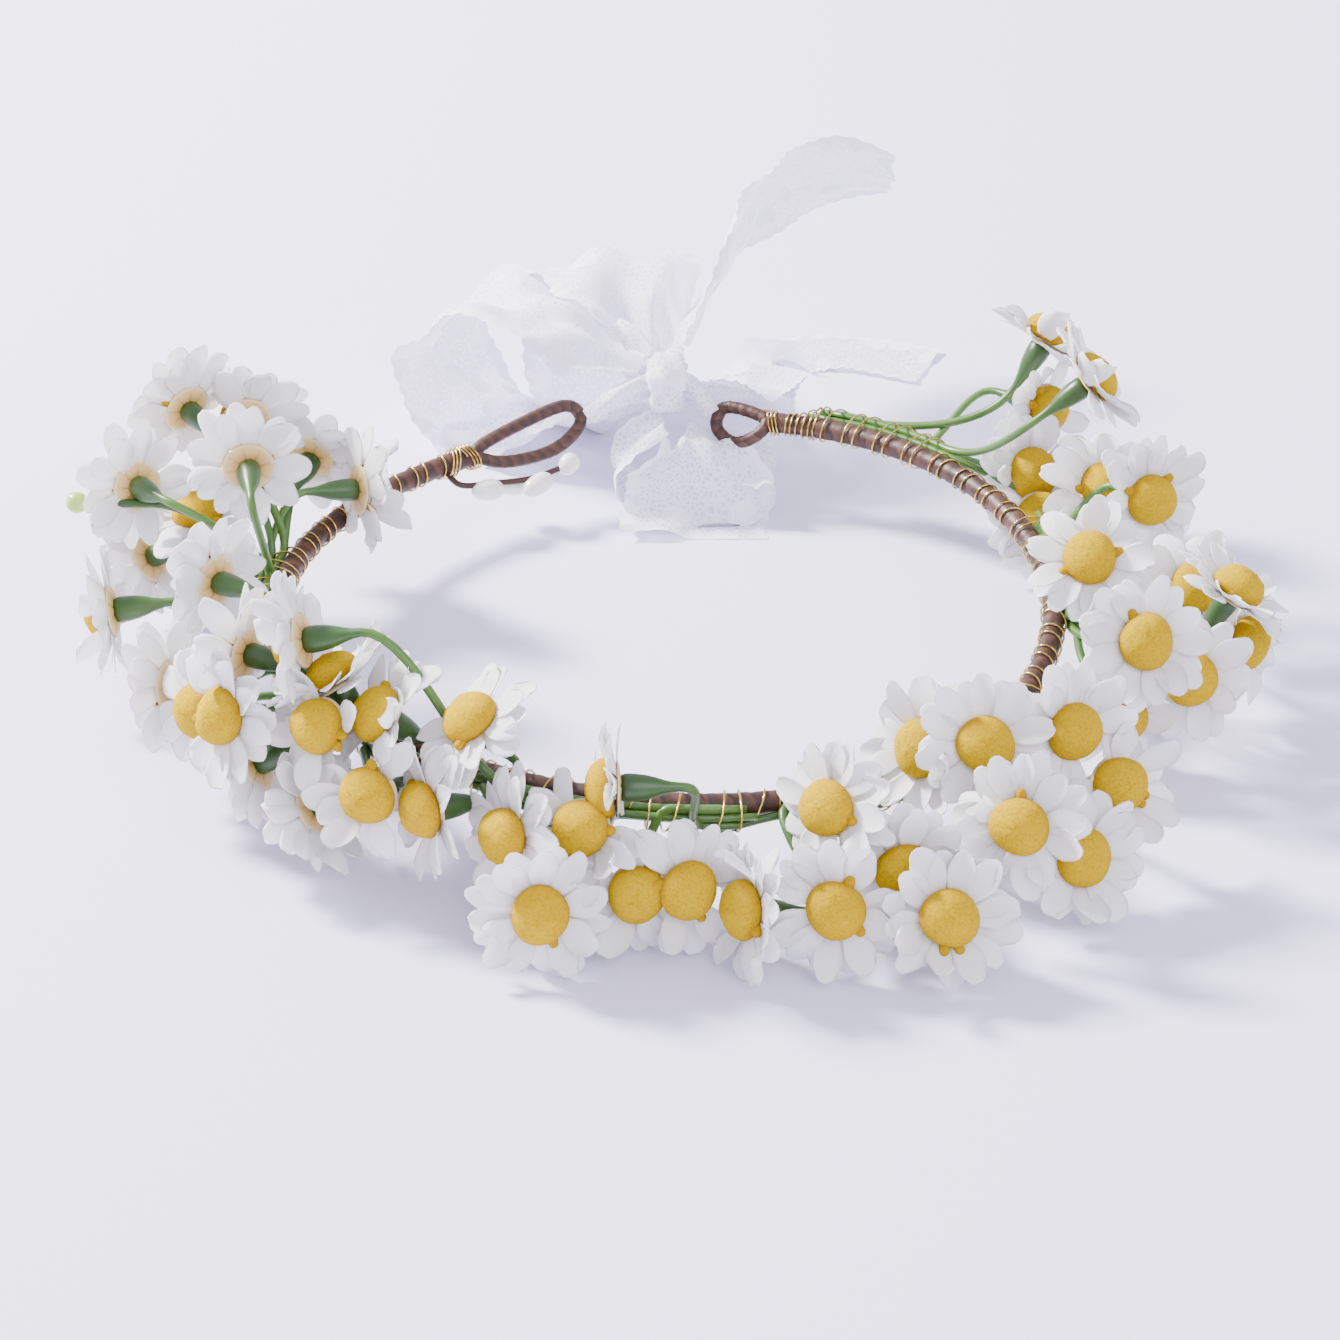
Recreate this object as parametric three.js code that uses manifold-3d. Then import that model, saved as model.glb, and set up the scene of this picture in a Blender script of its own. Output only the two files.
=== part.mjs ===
// Flower crown: a paper-wrapped wire hoop, open at the back, bound with sprays of fabric
// daisies and tied with a lace bow. Millimetres, +Z up, the bow towards +Y.
import * as THREE from 'three';
import { mergeVertices } from 'three/addons/utils/BufferGeometryUtils.js';
import Module from 'manifold-3d';

const wasm = await Module();
wasm.setup();

// ---- driving dimensions -------------------------------------------------------------------
const HOOP_RADIUS = 95;          // centreline of the hoop, an adult head with room to adjust
const HOOP_WAVE = 3;             // how far the hand-bent hoop rises and falls out of its plane
const HOOP_START = 124;          // hoop angle of the left end, counterclockwise from +X
const HOOP_END = 432;            // hoop angle of the right end (72 degrees, one turn on)
const WRAP_RADIUS = 2.6;
const WRAP_BORE = 1.6;
const CORE_RADIUS = 1.0;
const EYELET_RADIUS = 1.7;
const GAP = 0.3;                 // clearance between neighbouring pieces
const SLIVER = 0.03;             // edges shorter than this, left by a cut, are merged away
const GOLD_RADIUS = 0.3;
const GOLD_COIL = 3.8;
const GOLD_TURNS = 36;
const BUNDLE_RADIUS = 2.2;       // stems bound side by side along the outside of the hoop
const BUNDLE_OFFSET = 6.9;
const STEM_RADIUS = 1.0;
const CALYX_LENGTH = 13;
const CALYX_RADIUS = 3;
const PETAL_RADIUS = 16.5;
const PETAL_NOTCH = 13.5;
const PETAL_CUP = 1.8;
const CENTRE_RADIUS = 6.5;
const CENTRE_HEIGHT = 5.6;
const RIBBON_WIDTH = 34;
const RIBBON_THICKNESS = 1.2;

// Each spray is bound to the hoop between two hoop angles. Its daisies are written as
// [hoop angle, mm outside the hoop line, mm above it, facing azimuth, facing elevation, kind].
// own: a head in its own node. joined: a head moulded into the spray's node. bends: a head on
// its own bendable stem, with the hoop angle that the stem leaves the spray from. bud: a
// small closed bud in the spray's node.
const SPRAYS = {
  right_back: { from: 36, to: 60, daisies: [
    [38, 30, 10, -40, 0, 'own', 46],
    [24, 22, 33, 5, 38, 'bends', 43],
    [40, 34, 27, 25, 55, 'own', 53],
    [33, 18, -1, -74, 26, 'joined', 40.5],
    [28, 14, -8, -74, 26, 'joined', 39],
    [19, 22, 8, -67, 40, 'joined', 38],
  ] },
  right: { from: -14, to: 12, daisies: [
    [9, 26, 16, -60, 12, 'own'],
    [-11, 8, 22, -97, 54, 'own'],
    [-24, 27, 18, -81, 29, 'own'],
    [-3, 34, 6, -74, 50, 'joined'],
    [-13, 43, 20, 5, 58, 'bends', -5],
    [-19, 36, 4, -95, 12, 'own'],
    [-10, 46, 2, -36, 14, 'joined'],
    [-24, 22, -4, -70, -10, 'joined'],
  ] },
  right_front: { from: 300, to: 326, daisies: [
    [317, 30, 16, -63, 27, 'own'],
    [307, 23, 18, -84, 31, 'own'],
    [304, 9, 12, -134, 25, 'joined'],
    [304, 44, 10, -105, 24, 'own'],
    [319, 40, 4, -62, 27, 'joined'],
    [311, 46, -4, -63, 25, 'own'],
  ] },
  front_right: { from: 277, to: 297, daisies: [
    [295, 50, -4, -77, 33, 'own'],
    [286, 39, -4, -93, 19, 'own'],
    [294, 34, 0, -94, 3, 'joined'],
    [288, 22, 11, -135, 25, 'bends', 289],
    [278, 34, -6, -156, 16, 'joined'],
    [272, 28, -4, -72, 15, 'own'],
  ] },
  front: { from: 256, to: 274, daisies: [
    [267, 27, -6, -95, 10, 'joined'],
    [264, 17, 14, -177, 1, 'own', 271],
    [261, 22, 6, -118, 19, 'own'],
    [258, 38, -7, -88, 14, 'own'],
    [253, 24, 2, -145, 15, 'own'],
  ] },
  front_left: { from: 234, to: 253, daisies: [
    [243, 22, 2, -150, 8, 'joined', 242],
    [237, 26, 4, -119, 16, 'own'],
    [246, 10, 20, -164, 52, 'own'],
    [234, 14, 16, -160, 39, 'joined'],
    [223, 18, 29, 169, -15, 'own', 245],
  ] },
  left_front: { from: 207, to: 231, daisies: [
    [226, 13, 19, 155, 55, 'joined'],
    [229, 23, 14, -129, 24, 'own'],
    [214, 33, 8, -133, 13, 'joined'],
    [219, 34, 12, -130, 18, 'own'],
    [216, 24, 22, 152, 0, 'joined'],
    [228, 25, -8, 157, -34, 'joined'],
    [219, 27, -4, 169, -31, 'joined'],
  ] },
  left: { from: 185, to: 204, daisies: [
    [205, 33, 4, 153, -15, 'own'],
    [185, 41, 2, 180, -10, 'bends'],
    [194, 16, 18, 144, -5, 'own'],
  ] },
  left_back: { from: 160, to: 182, daisies: [
    [157, 20, 28, 97, 3, 'joined'],
    [176, 7, 33, 97, 3, 'bends'],
    [155, -10, 13, 25, -10, 'bends', 168],
    [150, 10, 14, 77, 8, 'joined'],
    [161, 33, 33, 131, 12, 'own'],
    [173, 37, 23, 125, -10, 'own'],
    [166, 26, 8, -157, 80, 'joined'],
    [167, 40, -5, 157, -32, 'joined'],
    [175, 47, 20, 178, 0, 'bud'],
  ] },
};

// ---- materials ----------------------------------------------------------------------------
const material = (color, roughness, metalness = 0) =>
  new THREE.MeshStandardMaterial({ color, roughness, metalness });
const PAPER = material(0x4a2a1c, 0.85);
const STEEL = material(0x8c8c8c, 0.4, 1);
const GOLD = material(0xc9b56a, 0.3, 1);
const STEM_GREEN = material(0x3f6b2e, 0.45);
const PETAL_WHITE = material(0xf4f1ee, 0.8);
const PIP_IVORY = material(0xf2eee6, 0.25);
const LACE_WHITE = material(0xeeeaf8, 0.9);

// ---- solids -------------------------------------------------------------------------------
const radians = THREE.MathUtils.degToRad;
const vector = (x, y, z) => new THREE.Vector3(x, y, z);

// A closed three.js geometry as a solid that can be joined and cut.
function solid(geometry) {
  const bare = geometry.clone();
  bare.deleteAttribute('normal');
  bare.deleteAttribute('uv');
  const merged = mergeVertices(bare, 1e-4);
  const body = new wasm.Manifold(new wasm.Mesh({
    numProp: 3,
    vertProperties: Float32Array.from(merged.attributes.position.array),
    triVerts: Uint32Array.from(merged.index.array),
  }));
  return body;
}

function geometryOf(body) {
  const mesh = largestPiece(body.simplify(SLIVER)).getMesh();
  const geometry = new THREE.BufferGeometry();
  geometry.setAttribute('position', new THREE.BufferAttribute(mesh.vertProperties, 3));
  geometry.setIndex(new THREE.BufferAttribute(mesh.triVerts, 1));
  geometry.computeVertexNormals();
  return geometry;
}

const joinAll = (bodies) => bodies.reduce((sum, body) => sum.add(body));

// The largest single piece of a solid, for a thin edge that a cut has taken off.
function largestPiece(body) {
  const pieces = body.decompose();
  return pieces.reduce((best, piece) => (piece.volume() > best.volume() ? piece : best));
}

function regularSection(radius, sides) {
  const section = new THREE.Shape();
  for (let i = 0; i < sides; i += 1) {
    const turn = (2 * Math.PI * i) / sides;
    const move = i === 0 ? 'moveTo' : 'lineTo';
    section[move](radius * Math.cos(turn), radius * Math.sin(turn));
  }
  section.closePath();
  return section;
}

function tube(curve, radius, sides, steps) {
  return new THREE.ExtrudeGeometry(regularSection(radius, sides), {
    steps,
    extrudePath: curve,
  });
}

// ---- hoop ---------------------------------------------------------------------------------
function hoopPoint(angle, outside = 0, above = 0) {
  const turn = radians(angle);
  const radius = HOOP_RADIUS + outside;
  const wave = HOOP_WAVE * Math.sin(2 * (turn - Math.PI));
  return vector(radius * Math.cos(turn), radius * Math.sin(turn), wave + above);
}

class HoopCurve extends THREE.Curve {
  constructor(from, to, outside = 0, above = 0) {
    super();
    Object.assign(this, { from, to, outside, above });
  }

  getPoint(t, target = vector(0, 0, 0)) {
    const angle = this.from + (this.to - this.from) * t;
    return target.copy(hoopPoint(angle, this.outside, this.above));
  }
}

class GoldCurve extends THREE.Curve {
  getPoint(t, target = vector(0, 0, 0)) {
    const angle = HOOP_START + 4 + (HOOP_END - HOOP_START - 8) * t;
    const turn = 2 * Math.PI * GOLD_TURNS * t;
    return target.copy(hoopPoint(angle, GOLD_COIL * Math.cos(turn), GOLD_COIL * Math.sin(turn)));
  }
}

const HOOP_STEPS = 36;
const hoopLine = new HoopCurve(HOOP_START, HOOP_END);

function hoopWrap() {
  const section = regularSection(WRAP_RADIUS, 8);
  section.holes.push(regularSection(WRAP_BORE, 5));
  return new THREE.ExtrudeGeometry(section, { steps: HOOP_STEPS, extrudePath: hoopLine });
}

// A loop of wrapped wire that runs on from the end of the hoop and folds back to it.
function eyelet(points) {
  const curve = new THREE.CatmullRomCurve3(points.map((p) => vector(...p)), true);
  return tube(curve, EYELET_RADIUS, 6, 20);
}

const EYELET_LEFT = [
  [-50.5, 81, -2], [-40, 90, 1], [-27, 98, 3], [-23, 96, -1], [-30, 88, -5], [-43, 81, -5],
];
const EYELET_RIGHT = [
  [26.5, 91.5, 2], [20, 96, 3], [15, 98, 2], [13.5, 95, -2], [18, 90, -4], [24, 88.5, -1],
];

// ---- daisies ------------------------------------------------------------------------------
const DOME = [[CENTRE_RADIUS, 0.7], [CENTRE_RADIUS - 1.2, 4.2], [0, CENTRE_HEIGHT]];

// One head about its own axis, facing +Z: a shallow cup of petals round a domed centre.
function headGeometry(grow, joined) {
  const segments = joined ? 8 : 14;
  const rim = PETAL_RADIUS + grow;
  const edge = grow > 0 ? [[rim, PETAL_CUP - grow], [rim, PETAL_CUP + grow]] : [[rim, PETAL_CUP]];
  const outline = [[0, -0.8 - grow], ...edge];
  outline.push(...DOME.map(([r, z]) => [r === 0 ? 0 : r + grow, z + grow]));
  const profile = outline.map(([r, z]) => new THREE.Vector2(r, z));
  const geometry = new THREE.LatheGeometry(profile, segments);
  geometry.rotateX(Math.PI / 2);
  const place = geometry.attributes.position;
  const notch = (PETAL_NOTCH + grow) / (PETAL_RADIUS + grow);
  for (let i = 0; i < place.count; i += 1) {
    const ring = i % outline.length;
    const onRim = ring >= 1 && ring <= edge.length;
    const betweenPetals = Math.floor(i / outline.length) % 2 === 1;
    if (onRim && betweenPetals && !joined) {
      place.setX(i, place.getX(i) * notch);
      place.setY(i, place.getY(i) * notch);
    }
  }
  return geometry;
}

function facing(azimuth, elevation) {
  const az = radians(azimuth);
  const el = radians(elevation);
  return vector(Math.cos(az) * Math.cos(el), Math.sin(az) * Math.cos(el), Math.sin(el));
}

function aimed(geometry, place, normal) {
  const turn = new THREE.Quaternion().setFromUnitVectors(vector(0, 0, 1), normal);
  geometry.applyQuaternion(turn);
  geometry.translate(place.x, place.y, place.z);
  return geometry;
}

const BUD = [[0, -1], [2.2, 1], [2.4, 4], [0, 7]];

function budGeometry(grow) {
  const profile = BUD.map(([r, z]) => new THREE.Vector2(r === 0 ? 0 : r + grow, z));
  return new THREE.LatheGeometry(profile, 8).rotateX(Math.PI / 2);
}

function head(daisy, grow = 0) {
  if (daisy.kind === 'bud') {
    return solid(aimed(budGeometry(grow), daisy.place, daisy.normal));
  }
  const joined = daisy.kind === 'joined';
  return solid(aimed(headGeometry(grow, joined), daisy.place, daisy.normal));
}

// A calyx swells from the stem to the back of the head; the stem bends out of the bundle.
function stemAndCalyx(daisy, start, rise, grow = 0) {
  const { place, normal } = daisy;
  const moulded = daisy.kind === 'joined' || daisy.kind === 'bud';
  const top = moulded ? 1 : -GAP - 0.8;
  const width = daisy.kind === 'bud' ? STEM_RADIUS : CALYX_RADIUS;
  const profile = [[0, top], [width, top], [STEM_RADIUS, -CALYX_LENGTH], [0, -CALYX_LENGTH]];
  const outline = profile.map(([r, z]) => new THREE.Vector2(r === 0 ? 0 : r + grow, z));
  const lathe = new THREE.LatheGeometry(outline.reverse(), 5);
  lathe.rotateX(Math.PI / 2);
  const calyx = solid(aimed(lathe, place, normal));
  const neck = place.clone().addScaledVector(normal, 0.8 - CALYX_LENGTH);
  const under = neck.clone().addScaledVector(normal, -9);
  const route = new THREE.CubicBezierCurve3(start, rise, under, neck);
  return calyx.add(solid(tube(route, STEM_RADIUS + grow, 4, 4)));
}

function readDaisy([angle, outside, above, azimuth, elevation, kind, leaves]) {
  return {
    angle,
    kind,
    leaves,
    place: hoopPoint(angle, outside, above),
    normal: facing(azimuth, elevation),
  };
}

// Where a daisy's stem leaves the spray: near its own hoop angle, within the bundle, with
// each stem a little further along than the one before.
function stemRoute(spray, daisy, index) {
  const inset = 3;
  const nearest = THREE.MathUtils.clamp(
    daisy.angle,
    spray.from + inset + 0.7 * index,
    spray.to - inset - 0.9 * index,
  );
  const angle = daisy.leaves ?? nearest;
  const middle = hoopPoint(angle, BUNDLE_OFFSET, 0.5 * (index % 3) - 0.5);
  const reach = daisy.place.clone().sub(middle).setLength(10);
  const rise = middle.clone().add(reach).add(vector(0, 0, 3));
  const out = daisy.kind === 'bends' ? BUNDLE_RADIUS + GAP + 0.6 : BUNDLE_RADIUS - 1.2;
  const start = rise.clone().sub(middle).setLength(out).add(middle);
  return { start, rise };
}

// ---- berries ------------------------------------------------------------------------------
const SPRIG = [[-54, 69, -6], [-46, 74.5, -8], [-36, 79, -9], [-27, 84, -8]];
const PIPS = [
  { at: [-47, 72.5, -9], length: 9, radius: 2.9 },
  { at: [-41, 80, -12], length: 7, radius: 2.4 },
  { at: [-34, 77.5, -10], length: 9, radius: 2.8 },
  { at: [-26, 84.5, -7.5], length: 6, radius: 2.6 },
];

function berrySprig() {
  const stalk = solid(tube(new THREE.CatmullRomCurve3(SPRIG.map((p) => vector(...p))), 0.8, 5, 8));
  const pips = PIPS.map(({ at, length, radius }) => {
    const pip = new THREE.SphereGeometry(1, 8, 5);
    pip.scale(length / 2, radius, radius);
    pip.rotateZ(radians(30));
    pip.translate(...at);
    return solid(pip);
  });
  return joinAll([stalk, ...pips]);
}

// ---- lace bow -----------------------------------------------------------------------------
const KNOT = vector(0, 100, 9);
const KNOT_RADIUS = 8.5;
const KNOT_LENGTH = 10;
const BAND_RADIUS = 2.2;
const TABLE = -22;               // the flat tail and both lowest loops lie at this height
const LAID = TABLE + RIBBON_THICKNESS / 2;
const TIE_BAND = [[-20.5, 96, 1], [-13, 98.5, 6], [-5, 100, 9], [5, 100, 9], [9, 98.5, 6], [11, 96.5, 2]];

// A strip of ribbon that follows its points, gathered to `gathered` mm at the knot and let out
// to `width` over the first stretch. `across` gives the direction of its width.
function ribbon({ points, width, gathered, across, steps }, grow = 0) {
  const line = new THREE.CatmullRomCurve3(points.map((p) => vector(...p)));
  const strip = new THREE.BoxGeometry(1, RIBBON_THICKNESS + 2 * grow, 1, steps, 1, 1);
  const place = strip.attributes.position;
  for (let i = 0; i < place.count; i += 1) {
    const t = place.getX(i) + 0.5;
    const at = line.getPointAt(t);
    at.z = Math.max(at.z, LAID);
    const side = across(at).normalize();
    const normal = line.getTangentAt(t).cross(side).normalize();
    const spread = THREE.MathUtils.clamp(at.distanceTo(KNOT) / 45, 0, 1);
    const local = gathered + (width - gathered) * spread + 2 * grow;
    at.addScaledVector(side, place.getZ(i) * local);
    at.addScaledVector(normal, -place.getY(i));
    place.setXYZ(i, at.x, at.y, at.z);
  }
  return solid(strip);
}

// A loop stands in the upright plane that leaves the knot along `azimuth`: its points are
// [mm from the knot, height].
function bowLoop(azimuth, outline, width) {
  const away = facing(azimuth, 0);
  const side = facing(azimuth + 90, 0);
  const points = outline.map(([reach, height]) => [
    KNOT.x + away.x * reach, KNOT.y + away.y * reach, height,
  ]);
  return { points, width, gathered: 7, across: () => side.clone(), steps: 16 };
}

const RIBBONS = {
  lace_loop_left: bowLoop(145, [
    [12, 5], [34, -14], [58, LAID], [76, -12], [78, 4], [58, 18], [32, 20], [12, 13],
  ], RIBBON_WIDTH),
  lace_loop_back: bowLoop(110, [
    [12, 3], [30, -14], [48, LAID], [62, -8], [60, 12], [40, 27], [24, 26], [12, 15],
  ], RIBBON_WIDTH),
  lace_loop_front: {
    points: [
      [-1, 91, -1], [-13, 90, -8], [-9, 88, -19], [8, 87, LAID], [23, 88, -19],
      [27, 90, -12], [14, 91, -8], [6, 92, -5],
    ],
    width: 22,
    gathered: 14,
    across: () => vector(0, 1, 0),
    steps: 14,
  },
  lace_tail_up: {
    points: [
      [5, 110, 18], [12, 130, 25], [20, 152, 30], [30, 170, 33], [48, 182, 34], [66, 187, 30],
    ],
    width: 28,
    gathered: 9,
    across: () => vector(0.35, 0, 0.94),
    steps: 12,
  },
  lace_tail_flat: {
    points: [
      [11, 111, 3], [17, 130, -12], [23, 155, LAID], [34, 176, LAID], [52, 180, LAID], [76, 170, LAID],
    ],
    width: 22,
    gathered: 8,
    across: (at) => facing(THREE.MathUtils.clamp((at.x - 18) * 3.75, 0, 90), 0),
    steps: 14,
  },
};

function tieBand() {
  const line = new THREE.CatmullRomCurve3(TIE_BAND.map((p) => vector(...p)));
  return solid(tube(line, BAND_RADIUS, 8, 10));
}

// The knot is a wrapped ring of ribbon round the tie band.
function knotRing(grow = 0) {
  const bore = BAND_RADIUS + GAP + 2 - grow;
  const half = KNOT_LENGTH / 2 + grow;
  const outer = KNOT_RADIUS + grow;
  const ring = [
    [bore, -half], [outer - 2, -half], [outer, 0], [outer - 2, half], [bore, half], [bore, -half],
  ];
  const knot = new THREE.LatheGeometry(ring.map(([r, z]) => new THREE.Vector2(r, z)), 12);
  knot.rotateZ(-Math.PI / 2);
  knot.translate(KNOT.x, KNOT.y, KNOT.z);
  return solid(knot);
}

// ---- assembly -----------------------------------------------------------------------------
const crown = new THREE.Group();

function addPiece(name, geometry, look) {
  const mesh = new THREE.Mesh(geometry, look);
  mesh.name = name;
  crown.add(mesh);
}

const hoopKeepOut = solid(tube(hoopLine, GOLD_COIL + GOLD_RADIUS + GAP, 8, HOOP_STEPS));
const eyeletKeepOut = [EYELET_LEFT, EYELET_RIGHT].map((points) => {
  const curve = new THREE.CatmullRomCurve3(points.map((p) => vector(...p)), true);
  return solid(tube(curve, EYELET_RADIUS + GAP, 6, 20));
});

// Bounding boxes tell quickly which solids can touch.
function near(a, b) {
  const p = a.boundingBox();
  const q = b.boundingBox();
  return [0, 1, 2].every((k) => p.min[k] <= q.max[k] && q.min[k] <= p.max[k]);
}

function clearOf(body, keepOuts) {
  const touching = keepOuts.filter((other) => near(body, other));
  const rest = touching.reduce((left, other) => left.subtract(other), body);
  return largestPiece(rest.simplify(SLIVER));
}

const stems = [];
const heads = [];
for (const [name, spray] of Object.entries(SPRAYS)) {
  const daisies = spray.daisies.map(readDaisy);
  const bundle = solid(tube(new HoopCurve(spray.from, spray.to, BUNDLE_OFFSET), BUNDLE_RADIUS, 6, 5));
  const fixed = [bundle];
  const fixedKeepOut = [bundle];
  daisies.forEach((daisy, index) => {
    const { start, rise } = stemRoute(spray, daisy, index);
    const entry = { spray: name, index: index + 1, daisy };
    heads.push(entry);
    if (daisy.kind !== 'bends') {
      fixed.push(stemAndCalyx(daisy, start, rise));
      fixedKeepOut.push(stemAndCalyx(daisy, start, rise, GAP));
      return;
    }
    stems.push({
      name: `stem_${name}_${index + 1}`,
      body: stemAndCalyx(daisy, start, rise),
      keepOut: stemAndCalyx(daisy, start, rise, GAP),
    });
  });
  stems.push({ name: `spray_${name}`, body: joinAll(fixed), keepOut: joinAll(fixedKeepOut) });
}

const hoopKeepOuts = [hoopKeepOut, ...eyeletKeepOut];
stems.forEach((stem, index) => {
  const others = stems.slice(0, index).map((other) => other.keepOut);
  stem.body = clearOf(stem.body, [...hoopKeepOuts, ...others]);
});

heads.forEach((entry, index) => {
  const own = `spray_${entry.spray}`;
  const joined = entry.daisy.kind === 'joined' || entry.daisy.kind === 'bud';
  const stemKeepOuts = stems
    .filter((stem) => !(joined && stem.name === own))
    .map((stem) => stem.keepOut);
  const earlier = heads.slice(0, index).map((other) => other.keepOut);
  entry.keepOut = head(entry.daisy, GAP);
  entry.body = clearOf(head(entry.daisy), [...hoopKeepOuts, ...stemKeepOuts, ...earlier]);
  if (joined) {
    const stem = stems.find((candidate) => candidate.name === own);
    stem.body = stem.body.add(entry.body);
  }
});

addPiece('hoop_wrap', hoopWrap(), PAPER);
addPiece('hoop_core', tube(hoopLine, CORE_RADIUS, 5, HOOP_STEPS), STEEL);
addPiece('eyelet_left', eyelet(EYELET_LEFT), PAPER);
addPiece('eyelet_right', eyelet(EYELET_RIGHT), PAPER);
addPiece('gold_wire', tube(new GoldCurve(), GOLD_RADIUS, 3, GOLD_TURNS * 5), GOLD);
stems.forEach((stem) => addPiece(stem.name, geometryOf(stem.body), STEM_GREEN));
heads
  .filter((entry) => entry.daisy.kind === 'own' || entry.daisy.kind === 'bends')
  .forEach((entry) => {
    addPiece(`daisy_${entry.spray}_${entry.index}`, geometryOf(entry.body), PETAL_WHITE);
  });

addPiece('berry_sprig', geometryOf(clearOf(berrySprig(), hoopKeepOuts)), PIP_IVORY);
addPiece('lace_tie_band', geometryOf(tieBand()), LACE_WHITE);
addPiece('lace_knot', geometryOf(knotRing()), LACE_WHITE);
const laceKeepOuts = [...hoopKeepOuts, knotRing(GAP)];
for (const [name, strip] of Object.entries(RIBBONS)) {
  addPiece(name, geometryOf(clearOf(ribbon(strip), laceKeepOuts)), LACE_WHITE);
  laceKeepOuts.push(ribbon(strip, GAP));
}

// The origin is on the table under the middle of the crown's box.
const box = new THREE.Box3().setFromObject(crown);
const middle = box.getCenter(vector(0, 0, 0));
crown.position.set(-middle.x, -middle.y, -box.min.z);

export default crown;
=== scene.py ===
import math

import bpy
import numpy as np
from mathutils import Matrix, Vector


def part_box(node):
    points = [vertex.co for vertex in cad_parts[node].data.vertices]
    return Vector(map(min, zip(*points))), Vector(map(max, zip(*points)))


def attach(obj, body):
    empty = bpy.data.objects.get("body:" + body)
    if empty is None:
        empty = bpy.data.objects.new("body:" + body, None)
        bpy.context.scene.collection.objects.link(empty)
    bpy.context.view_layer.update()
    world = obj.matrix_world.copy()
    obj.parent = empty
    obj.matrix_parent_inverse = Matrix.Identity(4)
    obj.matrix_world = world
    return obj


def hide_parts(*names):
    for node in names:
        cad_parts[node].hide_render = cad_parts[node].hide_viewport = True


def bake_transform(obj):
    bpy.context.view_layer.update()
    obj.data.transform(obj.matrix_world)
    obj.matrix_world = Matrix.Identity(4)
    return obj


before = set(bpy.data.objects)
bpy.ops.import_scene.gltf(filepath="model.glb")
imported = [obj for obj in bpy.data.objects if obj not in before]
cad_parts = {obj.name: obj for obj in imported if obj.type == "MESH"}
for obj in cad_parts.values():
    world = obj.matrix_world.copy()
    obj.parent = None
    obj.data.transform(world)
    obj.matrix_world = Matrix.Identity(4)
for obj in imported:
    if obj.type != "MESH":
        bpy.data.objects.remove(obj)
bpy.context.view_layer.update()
MM = 0.001

# ---- the hoop's frame, from the knot that is tied at its back ---------------------------------
knot_low, knot_high = (np.array(c, float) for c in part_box("lace_knot"))
KNOT = np.array([0.0, 100.0, 9.0])
HOOP = (knot_low + knot_high) / 2 - KNOT * MM
TABLE = -HOOP[2] / MM

HOOP_RADIUS = 95.0
HOOP_WAVE = 3.0
HOOP_START = 124.0
HOOP_END = 432.0
WRAP_RADIUS = 2.7
HEAD_RADIUS = 16.6
DOME_MIDDLE = 2.6
DOME_CLEARANCE = 6.7
GOLD_RADIUS = 0.27
BAND_RADIUS = 2.2

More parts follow.
